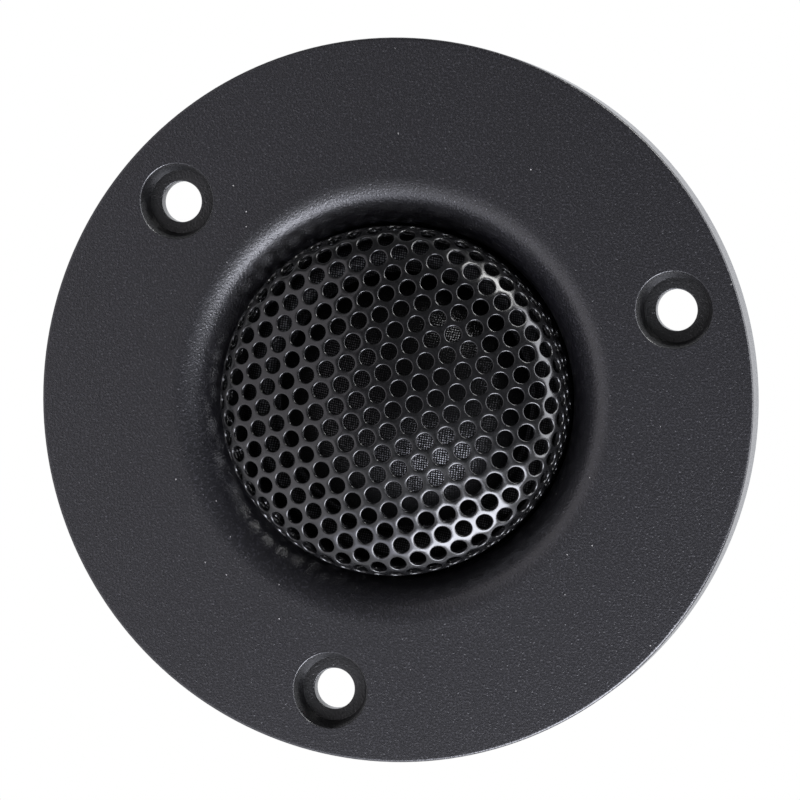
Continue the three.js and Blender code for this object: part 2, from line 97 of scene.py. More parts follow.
# ---- node materials ----
class Shader:
    """A node material on object coordinates, with short calls for the nodes that it needs."""

    def __init__(self, name, color, roughness, metallic=0.0, **fixed):
        self.material = bpy.data.materials.new(name)
        self.material.use_nodes = True
        self.tree = self.material.node_tree
        self.surface = self.tree.nodes["Principled BSDF"]
        self.coordinates = self.tree.nodes.new("ShaderNodeTexCoord").outputs["Object"]
        self.set(self.surface, "Base Color", (*color, 1))
        self.set(self.surface, "Roughness", roughness)
        self.surface.inputs["Metallic"].default_value = metallic
        for socket, value in fixed.items():
            self.surface.inputs[socket.replace("_", " ")].default_value = value
        self.height = None

    def set(self, node, socket, value):
        if hasattr(value, "links"):
            self.tree.links.new(value, node.inputs[socket])
        else:
            node.inputs[socket].default_value = value

    def node(self, kind, output=0, settings=None, **inputs):
        """Adds a node and returns one of its outputs; i0, i1 and i2 name inputs by their number."""
        made = self.tree.nodes.new(kind)
        for key, value in (settings or {}).items():
            setattr(made, key, value)
        for socket, value in inputs.items():
            name = socket.replace("_", " ")
            self.set(made, int(name[1:]) if name[0] == "i" and name[1:].isdigit() else name, value)
        return made.outputs[output]

    def noise(self, size_mm, detail=2.0, roughness=0.5, vector=None, output="Fac"):
        return self.node("ShaderNodeTexNoise", output, Vector=vector or self.coordinates,
                         Scale=1 / (size_mm * MM), Detail=detail, Roughness=roughness)

    def cells(self, spacing_mm):
        """The distance to the nearest of scattered points, as a share of their spacing."""
        return self.node("ShaderNodeTexVoronoi", "Distance", Vector=self.coordinates,
                         Scale=1 / (spacing_mm * MM))

    def math(self, operation, a, b=0.0):
        return self.node("ShaderNodeMath", 0, {"operation": operation}, i0=a, i1=b)

    def ramp(self, value, low, high, to_low=0.0, to_high=1.0):
        return self.node("ShaderNodeMapRange", 0, Value=value, From_Min=low, From_Max=high,
                         To_Min=to_low, To_Max=to_high)

    def mix(self, factor, a, b):
        made = self.tree.nodes.new("ShaderNodeMix")
        made.data_type = "RGBA"
        self.set(made, 0, factor)
        self.set(made, 6, a if hasattr(a, "links") else (*a, 1))
        self.set(made, 7, b if hasattr(b, "links") else (*b, 1))
        return made.outputs[2]

    def base(self, color):
        self.set(self.surface, "Base Color", color)

    def rough(self, value):
        self.set(self.surface, "Roughness", value)

    def bump(self, height, depth_mm, strength=1.0):
        """Adds a bump of this depth on top of any already there."""
        made = self.tree.nodes.new("ShaderNodeBump")
        made.inputs["Strength"].default_value = strength
        made.inputs["Distance"].default_value = depth_mm * MM
        self.set(made, "Height", height)
        if self.height is not None:
            self.set(made, "Normal", self.height)
        self.height = made.outputs[0]
        self.set(self.surface, "Normal", self.height)

    def axes(self):
        return self.node("ShaderNodeSeparateXYZ", 0, Vector=self.coordinates).node.outputs

    def within(self, length, low_mm, high_mm):
        """1 where a length lies between two values, 0 elsewhere."""
        return self.math("MULTIPLY", self.math("GREATER_THAN", length, low_mm * MM),
                         self.math("LESS_THAN", length, high_mm * MM))

    def facing(self):
        """How far the surface faces along the axis: 1 or -1 on a flat face, 0 on the rim."""
        normal = self.coordinates.node.outputs["Normal"]
        return self.node("ShaderNodeSeparateXYZ", "Y", Vector=normal)

    def radius(self):
        x, _, z = self.axes()
        squares = [self.math("MULTIPLY", side, side) for side in (x, z)]
        return self.math("SQRT", self.math("ADD", *squares))


def powder_coat():
    """Black with a fine grain, pale flecks, scattered pimples, slight clouds and a few specks of dust.

    It has painted shade in the recesses of the screw holes, and is smoother on the rim than on the face.
    """
    s = Shader("powder_coat", (0.005, 0.005, 0.006), 0.36, Specular_IOR_Level=0.75)
    grain = s.noise(0.2, detail=1.5)
    color = s.mix(s.ramp(grain, 0.3, 0.7), (0.002, 0.0019, 0.0028), (0.0036, 0.0034, 0.0048))
    cloud = s.ramp(s.noise(9, detail=3), 0.3, 0.7, 0, 0.25)
    color = s.mix(cloud, color, (0.0058, 0.0056, 0.0074))
    fleck = s.ramp(grain, 0.56, 0.72)
    color = s.mix(fleck, color, (0.016, 0.0155, 0.019))
    dust_spacing, dust_share = 2.6, 0.028
    dust = s.math("LESS_THAN", s.cells(dust_spacing), dust_share)
    color = s.mix(s.math("MULTIPLY", dust, 0.6), color, (0.35, 0.34, 0.33))
    # painted shade: the recesses of the screw holes get a darker colour that stands in for the shade inside
    # them
    below_face = s.within(s.axes()[1], -4.9, -2.9)
    along_hole_circle = s.within(s.radius(), 24.5, 33.5)
    recess = s.math("MULTIPLY", below_face, along_hole_circle)
    s.base(s.mix(recess, color, (0.0012, 0.0012, 0.0014)))
    smoother_when_steep = s.ramp(s.math("ABSOLUTE", s.facing()), 0.05, 0.2, 0.63, 1)
    s.rough(s.math("MULTIPLY", smoother_when_steep, s.ramp(grain, 0.3, 0.7, 0.33, 0.38)))
    s.bump(grain, 0.028)
    pimple_spacing, pimple_radius = 0.42, 0.11
    off_pimple = s.math("MULTIPLY", s.cells(pimple_spacing), pimple_spacing / pimple_radius)
    pimple = s.math("MAXIMUM", s.math("SUBTRACT", 1, s.math("POWER", off_pimple, 2)), 0)
    s.bump(pimple, 0.013)
    return s.material


def lacquered_mesh():
    """Satin black lacquer over perforated steel, with a faint orange peel and small nicks."""
    s = Shader("lacquered_mesh", (0.01, 0.01, 0.0104), 0.22, Specular_IOR_Level=0.6)
    s.base(s.mix(s.ramp(s.noise(0.35), 0.35, 0.7), (0.0025, 0.0025, 0.0027), (0.006, 0.006, 0.0063)))
    s.rough(s.ramp(s.noise(0.6, detail=4), 0.3, 0.7, 0.16, 0.26))
    s.bump(s.noise(0.3, detail=3), 0.006, 0.7)
    return s.material


def woven_silk():
    """A plain weave under a black sealing varnish: glossy threads, and gaps that reflect little.

    The roll of the surround, outside the dome, is duller.
    """
    s = Shader("woven_silk", (0.006, 0.006, 0.006), 0.35, metallic=1.0)
    x, _, z = s.axes()
    turn, pitch = math.radians(-10), 0.46 * MM
    cosine, sine = math.cos(turn), math.sin(turn)
    across = s.math("ADD", s.math("MULTIPLY", x, cosine), s.math("MULTIPLY", z, sine))
    along = s.math("SUBTRACT", s.math("MULTIPLY", z, cosine), s.math("MULTIPLY", x, sine))
    threads = [
        s.math("ABSOLUTE", s.math("SINE", s.math("MULTIPLY", way, 2 * math.pi / pitch)))
        for way in (across, along)
    ]
    uneven = s.ramp(s.noise(0.25, detail=1), 0.35, 0.65, 0.6, 1.2)
    crossing = s.math("MULTIPLY", s.math("MULTIPLY", *threads), uneven)
    s.base(s.mix(s.ramp(crossing, 0.35, 0.8), (0.007, 0.007, 0.007), (0.055, 0.055, 0.057)))
    duller = s.ramp(s.radius(), 12.4 * MM, 12.8 * MM, 0, 0.25)
    s.rough(s.math("ADD", s.ramp(crossing, 0.15, 0.7, 0.7, 0.24), duller))
    s.bump(crossing, 0.01, 0.8)
    s.bump(s.noise(0.2, detail=1), 0.012)
    return s.material


def moulded_plastic():
    s = Shader("moulded_plastic", (0.018, 0.018, 0.02), 0.45)
    grain = s.cells(0.28)
    s.base(s.mix(s.ramp(s.noise(6, detail=4), 0.35, 0.7), (0.016, 0.016, 0.018), (0.026, 0.026, 0.028)))
    s.rough(s.ramp(s.noise(3, detail=3), 0.3, 0.7, 0.38, 0.55))
    s.bump(grain, 0.012, 0.5)
    return s.material


def closed_cell_foam():
    s = Shader("closed_cell_foam", (0.012, 0.012, 0.013), 0.92, Specular_IOR_Level=0.25)
    pores = s.cells(0.22)
    s.base(s.mix(s.ramp(pores, 0, 0.5), (0.006, 0.006, 0.006), (0.03, 0.03, 0.031)))
    s.bump(pores, 0.09, 0.9)
    s.bump(s.noise(1.5), 0.05, 0.4)
    return s.material


def turned_steel():
    """Zinc-plated steel with fine lathe rings and a cloudy passivation."""
    s = Shader("turned_steel", (0.55, 0.57, 0.6), 0.32, metallic=1.0)
    rings = s.math("SINE", s.math("MULTIPLY", s.radius(), 2 * math.pi / (0.14 * MM)))
    s.base(s.mix(s.ramp(s.noise(4, detail=4), 0.3, 0.7), (0.45, 0.47, 0.5), (0.62, 0.63, 0.65)))
    s.rough(s.ramp(s.noise(1.2, detail=3), 0.3, 0.7, 0.24, 0.42))
    s.bump(rings, 0.004, 0.6)
    return s.material


def plain_metal(name, color, rough, worn, grain_mm=0.8, nick_mm=0.01):
    """Metal whose colour and gloss drift between two shades, with a light surface grain."""
    s = Shader(name, color, rough, metallic=1.0)
    s.base(s.mix(s.ramp(s.noise(grain_mm * 4, detail=4), 0.35, 0.7), color, worn))
    s.rough(s.ramp(s.noise(grain_mm, detail=4), 0.3, 0.7, rough * 0.75, rough * 1.3))
    s.bump(s.noise(grain_mm * 0.3, detail=2), nick_mm, 0.5)
    return s.material


def fibres(name, dark, light, strand_mm, depth_mm):
    """Felt or wool: tangled strands from noise that a second noise bends."""
    s = Shader(name, dark, 1.0, Specular_IOR_Level=0.1)
    s.surface.inputs["Sheen Weight"].default_value = 0.4
    bend = s.noise(strand_mm * 6, detail=2, output="Color")
    shifted = s.node("ShaderNodeVectorMath", 0, {"operation": "MULTIPLY_ADD"},
                     i0=bend, i1=(0.01, 0.002, 0.004), i2=s.coordinates)
    strands = s.noise(strand_mm, detail=5, roughness=0.7, vector=shifted)
    s.base(s.mix(s.ramp(strands, 0.35, 0.65), dark, light))
    s.bump(strands, depth_mm, 0.9)
    return s.material


def film():
    """Amber polyimide film with faint winding marks along the axis."""
    s = Shader("polyimide_film", (0.5, 0.2, 0.03), 0.25, Coat_Weight=0.4)
    s.base(s.mix(s.ramp(s.noise(2, detail=3), 0.3, 0.7), (0.42, 0.16, 0.02), (0.6, 0.27, 0.06)))
    s.bump(s.noise(0.5), 0.006, 0.5)
    return s.material


def sleeve(name, color, scuffed):
    s = Shader(name, color, 0.38)
    s.base(s.mix(s.ramp(s.noise(0.8, detail=4), 0.5, 0.75), color, scuffed))
    s.rough(s.ramp(s.noise(0.5, detail=3), 0.3, 0.7, 0.3, 0.5))
    s.bump(s.noise(0.25), 0.01, 0.5)
    return s.material


def phenolic():
    """Brown pressed-paper board, with fibres that run one way."""
    s = Shader("phenolic_board", (0.13, 0.055, 0.022), 0.5)
    stretched = s.node("ShaderNodeMapping", 0, Vector=s.coordinates, Scale=(0.25, 1, 1))
    streak = s.noise(0.25, detail=4, vector=stretched)
    s.base(s.mix(s.ramp(streak, 0.3, 0.7), (0.09, 0.036, 0.014), (0.19, 0.085, 0.036)))
    s.bump(streak, 0.015, 0.5)
    return s.material


def solder():
    s = Shader("solder", (0.6, 0.6, 0.62), 0.2, metallic=1.0)
    s.rough(s.ramp(s.noise(0.4, detail=3), 0.3, 0.7, 0.12, 0.35))
    s.bump(s.noise(0.5), 0.02, 0.4)
    return s.material


LOOKS = {
    "black_coat": powder_coat(),
    "black_mesh": lacquered_mesh(),
    "silk": woven_silk(),
    "foam": closed_cell_foam(),
    "former_film": film(),
    "winding_copper": plain_metal("enamelled_copper", (0.6, 0.25, 0.11), 0.28, (0.45, 0.17, 0.07), 0.5),
    "black_plastic": moulded_plastic(),
    "zinc_steel": turned_steel(),
    "nickel_plate": plain_metal("nickel_plate", (0.72, 0.7, 0.66), 0.16, (0.6, 0.57, 0.52), 1.5, 0.004),
    "copper_sheet": plain_metal("copper_sheet", (0.75, 0.36, 0.2), 0.3, (0.5, 0.2, 0.11), 1.2),
    "grey_felt": fibres("grey_felt", (0.06, 0.06, 0.064), (0.22, 0.22, 0.23), 0.3, 0.2),
    "white_wool": fibres("white_wool", (0.42, 0.4, 0.36), (0.8, 0.78, 0.73), 0.6, 0.4),
    "black_zinc": plain_metal("black_zinc", (0.05, 0.05, 0.052), 0.35, (0.09, 0.09, 0.1), 0.6),
    "board": phenolic(),
    "brass_tab": plain_metal("stamped_brass", (0.75, 0.52, 0.2), 0.28, (0.55, 0.34, 0.12), 0.9),
    "red_sleeve": sleeve("red_sleeve", (0.38, 0.014, 0.012), (0.5, 0.05, 0.04)),
    "black_sleeve": sleeve("black_sleeve", (0.012, 0.012, 0.013), (0.04, 0.04, 0.042)),
}


# ---- mesh helpers ----
def mesh_object(name, vertices, faces, sharp_degrees=35):
    """A smooth-shaded object from millimetre vertices, with its faces outward and its hard edges kept."""
    mesh = bpy.data.meshes.new(name)
    mesh.from_pydata([Vector(v) * MM for v in vertices], [], faces)
    tidy = bmesh.new()
    tidy.from_mesh(mesh)
    bmesh.ops.recalc_face_normals(tidy, faces=tidy.faces)
    tidy.to_mesh(mesh)
    tidy.free()
    mesh.polygons.foreach_set("use_smooth", [True] * len(mesh.polygons))
    mesh.set_sharp_from_angle(angle=math.radians(sharp_degrees))
    obj = bpy.data.objects.new(name, mesh)
    bpy.context.scene.collection.objects.link(obj)
    return obj


def settle(obj):
    """Turns an object's modifiers into its mesh."""
    graph = bpy.context.evaluated_depsgraph_get()
    mesh = bpy.data.meshes.new_from_object(obj.evaluated_get(graph))
    obj.modifiers.clear()
    obj.data = mesh
    return obj


def carve(obj, cutters, operation="DIFFERENCE"):
    """Cuts the cutters out of obj, or joins them to it, and removes them."""
    for cutter in cutters:
        boolean = obj.modifiers.new("carve", "BOOLEAN")
        boolean.operation = operation
        boolean.solver = "EXACT"
        boolean.object = cutter
    settle(obj)
    for cutter in cutters:
        bpy.data.objects.remove(cutter)
    return obj


def flat_shaded_planes(obj, sharp_degrees=30):
    """Keeps large planes evenly shaded beside small roundings."""
    obj.data.polygons.foreach_set("use_smooth", [True] * len(obj.data.polygons))
    obj.data.set_sharp_from_angle(angle=math.radians(sharp_degrees))
    weighted = obj.modifiers.new("weighted", "WEIGHTED_NORMAL")
    weighted.keep_sharp = True
    weighted.weight = 100
    return settle(obj)


def curve_between(start, corner, end, steps):
    """A rounding from start to end that leaves and arrives along the lines to the corner."""
    points = []
    for i in range(steps + 1):
        t = i / steps
        points.append(tuple(
            (1 - t) ** 2 * a + 2 * t * (1 - t) * b + t * t * c for a, b, c in zip(start, corner, end)
        ))
    return points


def angles(start, end, steps):
    """Equally spaced angles from start to end, in radians."""
    return [start + (end - start) * i / steps for i in range(steps + 1)]


def rounded(corners, closed=True, steps=4):
    """An outline of (radius, y, rounding) corners with each corner broken by its rounding."""
    outline = []
    count = len(corners)
    for i, (r, y, size) in enumerate(corners):
        if size == 0 or (not closed and i in (0, count - 1)):
            outline.append((r, y))
            continue
        here = Vector((r, y))
        before = Vector(corners[i - 1][:2]) - here
        after = Vector(corners[(i + 1) % count][:2]) - here
        nearly_half = 0.48  # so that the roundings at both ends of a side don't meet
        reach = min(size, before.length * nearly_half, after.length * nearly_half)
        start = here + before.normalized() * reach
        end = here + after.normalized() * reach
        outline += curve_between(start, here, end, steps)
    return outline


def turned(name, outline, closed=True, steps=RING_STEPS, centre=(0, 0), sharp_degrees=35):
    """A piece turned about the Y axis through centre (x, z)."""
    vertices, faces, rings = [], [], []
    for r, y in outline:
        if r < 1e-6:
            rings.append([len(vertices)] * steps)
            vertices.append((centre[0], y, centre[1]))
            continue
        rings.append(list(range(len(vertices), len(vertices) + steps)))
        for k in range(steps):
            angle = 2 * math.pi * k / steps
            vertices.append((centre[0] + r * math.cos(angle), y, centre[1] + r * math.sin(angle)))
    pairs = list(zip(rings, rings[1:])) + ([(rings[-1], rings[0])] if closed else [])
    for first, second in pairs:
        for k in range(steps):
            after = (k + 1) % steps
            corner = dict.fromkeys([first[k], first[after], second[after], second[k]])
            if len(corner) > 2:
                faces.append(tuple(corner))
    return mesh_object(name, vertices, faces, sharp_degrees)


def washer(name, inner, outer, front, rear, rounding):
    """A ring or tube about the Y axis with its four edges rounded."""
    corners = [(inner, front), (outer, front), (outer, rear), (inner, rear)]
    return turned(name, rounded([(*corner, rounding) for corner in corners]))


def pin(radius, front, rear, centre=(0, 0), steps=32):
    """A plain cylinder along Y, which cuts a hole."""
    outline = [(0, front), (radius, front), (radius, rear), (0, rear)]
    return turned("pin", outline, closed=False, steps=steps, centre=centre)


def tube_along(name, points, radius, sides, samples=8):
    """A round wire along a smooth curve through points, with flat ends."""
    path = smooth_path(points, samples)
    vertices, faces = [], []
    direction = (path[1] - path[0]).normalized()
    side = direction.orthogonal().normalized()
    for i, here in enumerate(path):
        ahead = path[min(i + 1, len(path) - 1)] - path[max(i - 1, 0)]
        direction = ahead.normalized()
        side = (side - direction * side.dot(direction)).normalized()
        up = direction.cross(side)
        for k in range(sides):
            angle = 2 * math.pi * k / sides
            vertices.append(here + (side * math.cos(angle) + up * math.sin(angle)) * radius)
    for i in range(len(path) - 1):
        for k in range(sides):
            after = (k + 1) % sides
            faces.append((i * sides + k, i * sides + after, (i + 1) * sides + after, (i + 1) * sides + k))
    faces.append(tuple(range(sides)))
    faces.append(tuple(range((len(path) - 1) * sides, len(path) * sides)))
    return mesh_object(name, vertices, faces, 50)


def smooth_path(points, samples):
    """A Catmull-Rom curve through the points."""
    points = [Vector(p) for p in points]
    padded = [2 * points[0] - points[1], *points, 2 * points[-1] - points[-2]]
    path = []
    for a, b, c, d in zip(padded, padded[1:], padded[2:], padded[3:]):
        for k in range(samples):
            t = k / samples
            path.append(0.5 * (2 * b + (c - a) * t + (2 * a - 5 * b + 4 * c - d) * t * t
                               + (3 * b - a - 3 * c + d) * t ** 3))
    return path + [points[-1]]


def prism(name, first, second):
    """A solid between two outlines with equally many points."""
    count = len(first)
    faces = [tuple(range(count)), tuple(range(2 * count - 1, count - 1, -1))]
    faces += [(i, (i + 1) % count, (i + 1) % count + count, i + count) for i in range(count)]
    return mesh_object(name, [*first, *second], faces)


def folded_strip(node, outline):
    """A piece of sheet as wide as its node, from its (y, z) outline."""
    low, high = span(node)
    sides = [[(x, y, z) for y, z in outline] for x in (low.x, high.x)]
    return prism(node + "_stamped", *sides)


def bevelled(obj, width_mm, segments=3, angle_degrees=40):
    """Rounds the edges where faces meet at more than an angle."""
    bevel = obj.modifiers.new("edges", "BEVEL")
    bevel.width = width_mm * MM
    bevel.segments = segments
    bevel.limit_method = "ANGLE"
    bevel.angle_limit = math.radians(angle_degrees)
    return flat_shaded_planes(settle(obj), 50)


def block(name, x, y, z):
    """A box from its ranges of x, y and z."""
    corners = [(a, b, c) for a in x for b in y for c in z]
    faces = [(0, 1, 3, 2), (4, 6, 7, 5), (0, 4, 5, 1), (2, 3, 7, 6), (0, 2, 6, 4), (1, 5, 7, 3)]
    return mesh_object(name, corners, faces)


def place(obj, node_or_slot, body=HOUSING, stands_for=True):
    """Gives a piece its finish and its body; stands_for says that it takes the place of that CAD node."""
    slots = {row["node"]: row["material_slot"] for row in frame["record"]["subparts"]}
    name = slots[node_or_slot] if stands_for else node_or_slot
    obj.data.materials.clear()
    obj.data.materials.append(LOOKS[name])
    if body:
        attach(obj, body)
    if stands_for:
        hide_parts(node_or_slot)
    return obj


# ---- faceplate ----
SCREW_SEATS = [m["pos_m"] for m in frame["record"]["mounts"] if m["name"].startswith("screw_seat")]
PANEL_HOLE_CIRCLE = 28.8
PANEL_HOLE_ANGLES = [math.atan2(z, x) for x, _, z in SCREW_SEATS]
SCREW_SEAT_FLOOR = SCREW_SEATS[0][1] / MM
CHAMBER_SCREW_HOLE = 1.15
MOUTH, THROAT = 21.7, 17.2  # radii where the flat face starts to roll in and where the roll ends
SKIRT, BOSS, POCKET = 33, 23.5, 19  # radii of the rear
WEB_REAR, POCKET_FLOOR = -1.6, 0.6


def around(radius, angle):
    return radius * math.cos(angle), radius * math.sin(angle)


def centre_of(node):
    """The (x, z) middle of a CAD node."""
    low, high = span(node)
    return (low.x + high.x) / 2, (low.z + high.z) / 2


def faceplate():
    """The flat face rolls into the throat in a quarter turn; behind it are a skirt and a boss."""
    low, high = span("faceplate")
    radius, front, boss_rear = high.x, low.y, high.y
    roll = MOUTH - THROAT
    mouth_arc = [
        (MOUTH - roll * math.sin(t), front + roll - roll * math.cos(t)) for t in angles(math.pi / 2, 0, 24)
    ]
    rest = rounded([
        (MOUTH + 0.4, front, 0), (radius - 1, front, 0), (radius, front, 0.28), (radius, 0, 0.3),
        (SKIRT, 0, 0.25), (SKIRT, WEB_REAR, 0.4), (BOSS, WEB_REAR, 0.5), (BOSS, boss_rear, 0.3),
        (POCKET, boss_rear, 0.2), (POCKET, POCKET_FLOOR, 0), (THROAT, POCKET_FLOOR, 0.1),
    ], closed=False, steps=5)
    obj = turned("faceplate_body", mouth_arc + rest + [(THROAT, POCKET_FLOOR)])
    cutters = [panel_hole_cutter(around(PANEL_HOLE_CIRCLE, a), front) for a in PANEL_HOLE_ANGLES]
    for node in CHAMBER_SCREWS:
        tip = span(node)[0].y
        cutters.append(pin(CHAMBER_SCREW_HOLE, tip - 0.5, boss_rear + 1, centre_of(node)))
    carve(obj, cutters)
    place(flat_shaded_planes(obj, 32), "faceplate")


def panel_hole_cutter(centre, front):
    """The drafted recess for a screw head and the hole through its floor, with slightly broken edges."""
    rim, floor_radius, through, lip = 3.66, 3.1, 2.0, 0.14
    behind, before = 2, front - 0.6  # where the cutter ends, clear of the plate
    outline = rounded([
        (0, behind, 0), (through, behind, 0), (through, SCREW_SEAT_FLOOR, 0.12),
        (floor_radius, SCREW_SEAT_FLOOR, 0), (rim, front + lip * 0.4, lip * 1.3),
        (rim + lip, front - 0.03, 0), (rim + 1, before, 0), (0, before, 0),
    ], closed=False, steps=5)
    return turned("panel_hole", outline, closed=False, steps=96, centre=centre)


# ---- grille ----
GRILLE_PITCH, GRILLE_HOLE = 2.111, 0.79
GRILLE_ROW = math.radians(15.57)
GRILLE_LATTICE = Vector((-0.1, 0.79))  # the hole nearest to the apex
GRILLE_THICKNESS = 0.5
UNPIERCED_FOOT = 1.1
CROWN_RADIUS, KNEE_START, KNEE_END = 41, 13.7, 19.8
HOLE_SECTORS = 4  # pieces of each side of a cell, so a hole has six times as many sides


def formed_section(step=0.02):
    """The middle of the grille's sheet from the apex out, as (radius, y, slope) at equal steps along it."""
    low, high = span("grille")
    r, y, section = 0.0, low.y + GRILLE_THICKNESS / 2, []
    while y < high.y - GRILLE_THICKNESS:
        s = len(section) * step
        knee = min(max((s - KNEE_START) / (KNEE_END - KNEE_START), 0), 1)
        turn = math.pi / 2 - KNEE_END / CROWN_RADIUS
        slope = min(s, KNEE_END) / CROWN_RADIUS + turn * knee * knee * (3 - 2 * knee)
        section.append((r, y, slope))
        r += step * math.cos(slope)
        y += step * math.sin(slope)
    return section, step


SECTION, SECTION_STEP = formed_section()


def on_sheet(x, z, depth):
    """Where a flat point of the blank comes to lie, at a depth below the front surface."""
    s = math.hypot(x, z)
    at = min(s / SECTION_STEP, len(SECTION) - 1.001)
    below, share = int(at), at - int(at)
    r, y, slope = (a + (b - a) * share for a, b in zip(SECTION[below], SECTION[below + 1]))
    inward = depth - GRILLE_THICKNESS / 2
    r -= inward * math.sin(slope)
    return x / s * r, y + inward * math.cos(slope), z / s * r


def blank_point(thirds_a, thirds_b):
    """A point of the flat blank, in thirds of the pitch along the two rows of its lattice."""
    a = Vector((math.cos(GRILLE_ROW), math.sin(GRILLE_ROW)))
    b = Vector((math.cos(GRILLE_ROW + math.pi / 3), math.sin(GRILLE_ROW + math.pi / 3)))
    return GRILLE_LATTICE + (a * thirds_a + b * thirds_b) * (GRILLE_PITCH / 3)


def grille():
    """Every hole is a cell of six sides. Neighbours share their border points, so the sheet is one body."""
    corner_steps = [(1, 1), (-1, 2), (-2, 1), (-1, -1), (1, -2), (2, -1)]
    neighbour_steps = [(0, 1), (-1, 1), (-1, 0), (0, -1), (1, -1), (1, 0)]
    edge_arc = len(SECTION) * SECTION_STEP - UNPIERCED_FOOT
    reach = int(edge_arc / GRILLE_PITCH) + 3
    cells = [
        (i, j) for i in range(-reach, reach + 1) for j in range(-reach, reach + 1)
        if max(blank_point(3 * i + a, 3 * j + b).length for a, b in corner_steps) < edge_arc
    ]
    known, taken = set(cells), {}
    vertices, faces, border = [], [], {}

    def vertex(x, z, depth, key=None):
        if key in taken:
            return taken[key]
        vertices.append(on_sheet(x, z, depth))
        if key is not None:
            taken[key] = len(vertices) - 1
        return len(vertices) - 1

    # rings of a hole as (radius, depth): a rolled front edge, the wall, and a sharper rear edge
    front_lip, rear_lip = 0.12, 0.04
    hole_rings = [
        (GRILLE_HOLE + front_lip * (1 - math.sin(t)), front_lip * (1 - math.cos(t)))
        for t in angles(0, math.pi / 2, 3)
    ]
    hole_rings.append((GRILLE_HOLE, GRILLE_THICKNESS - rear_lip))
    hole_rings.append((GRILLE_HOLE + rear_lip, GRILLE_THICKNESS))
    for i, j in cells:
        centre = blank_point(3 * i, 3 * j)
        outer = []
        for k in range(6):
            (a1, b1), (a2, b2) = corner_steps[k], corner_steps[(k + 1) % 6]
            for m in range(HOLE_SECTORS):
                key = (
                    (3 * i + a1) * (HOLE_SECTORS - m) + (3 * i + a2) * m,
                    (3 * j + b1) * (HOLE_SECTORS - m) + (3 * j + b2) * m,
                )
                outer.append((blank_point(key[0] / HOLE_SECTORS, key[1] / HOLE_SECTORS), key))
        loops = [[vertex(*p, 0, ("front", key)) for p, key in outer]]
        for radius, depth in hole_rings:
            rays = [(p - centre).normalized() * radius + centre for p, _ in outer]
            loops.append([vertex(*ray, depth) for ray in rays])
        loops.append([vertex(*p, GRILLE_THICKNESS, ("rear", key)) for p, key in outer])
        count = len(outer)
        faces += faces_between(loops)
        for k, (di, dj) in enumerate(neighbour_steps):
            if (i + di, j + dj) not in known:
                for m in range(HOLE_SECTORS):
                    n = k * HOLE_SECTORS + m
                    border[outer[n][1]] = outer[(n + 1) % count][1]
    faces += skirt_faces(vertices, taken, border)
    place(mesh_object("grille_mesh", vertices, faces, 60), "grille")


def faces_between(loops):
    """Four-sided faces between each closed loop of vertices and the next."""
    count = len(loops[0])
    return [
        (first[n], first[(n + 1) % count], second[(n + 1) % count], second[n])
        for first, second in zip(loops, loops[1:]) for n in range(count)
    ]


def skirt_faces(vertices, taken, border):
    """The plain foot of the wall and the clamped flange, from the front border round to the rear one."""
    loop = [next(iter(border))]
    while border[loop[-1]] != loop[0]:
        loop.append(border[loop[-1]])
    rows = [[taken["front", key] for key in loop]]
    directions = [math.atan2(vertices[v][2], vertices[v][0]) for v in rows[0]]
    outside, bend = SECTION[-1][0] + GRILLE_THICKNESS / 2, SECTION[-1][1]
    inside, rear = outside - GRILLE_THICKNESS, bend + GRILLE_THICKNESS
    flange = span("grille")[1].x
    wall_start = bend - 0.8
    foot = rounded([
        (outside, wall_start, 0), (outside, bend, 0.25), (flange, bend, 0.1),
        (flange, rear, 0.1), (inside, rear, 0.5), (inside, wall_start, 0),
    ], closed=False, steps=3)
    for r, y in foot:
        rows.append(list(range(len(vertices), len(vertices) + len(loop))))
        vertices += [(r * math.cos(a), y, r * math.sin(a)) for a in directions]
    rows.append([taken["rear", key] for key in loop])
    return faces_between(rows)


# ---- gaskets ----
def gaskets():
    low, high = span("flange_gasket")
    inner, screw_clearance = 24, 2.7
    ring = turned("flange_gasket_foam", rounded([
        (inner, low.y, 0.1), (high.x, low.y, 0.1), (high.x, high.y, 0.35), (inner, high.y, 0.35),
    ]))
    cutters = [
        pin(screw_clearance, low.y - 1, 1, around(PANEL_HOLE_CIRCLE, angle), steps=48)
        for angle in PANEL_HOLE_ANGLES
    ]
    place(flat_shaded_planes(carve(ring, cutters)), "flange_gasket")
    low, high = span("diaphragm_gasket")
    inner = 16.7
    place(washer("diaphragm_gasket_foam", inner, high.x, low.y, high.y, 0.1), "diaphragm_gasket")


# ---- diaphragm ----
DOME_EDGE, DOME_EDGE_Y, DOME_HEIGHT, CLOTH = 12.6, 1.9, 7, 0.3


def dome():
    """A cap of a sphere, as thick as the cloth."""
    radius = (DOME_EDGE ** 2 + DOME_HEIGHT ** 2) / (2 * DOME_HEIGHT)
    centre = DOME_EDGE_Y - DOME_HEIGHT + radius
    inside = radius - CLOTH
    reach, steps = math.asin(DOME_EDGE / radius), 40
    front = [(radius * math.sin(t), centre - radius * math.cos(t)) for t in angles(0, reach, steps)]
    rear = [(inside * math.sin(t), centre - inside * math.cos(t)) for t in angles(reach, 0, steps)]
    place(turned("dome_cloth", front + rear, closed=False), "dome", DIAPHRAGM)


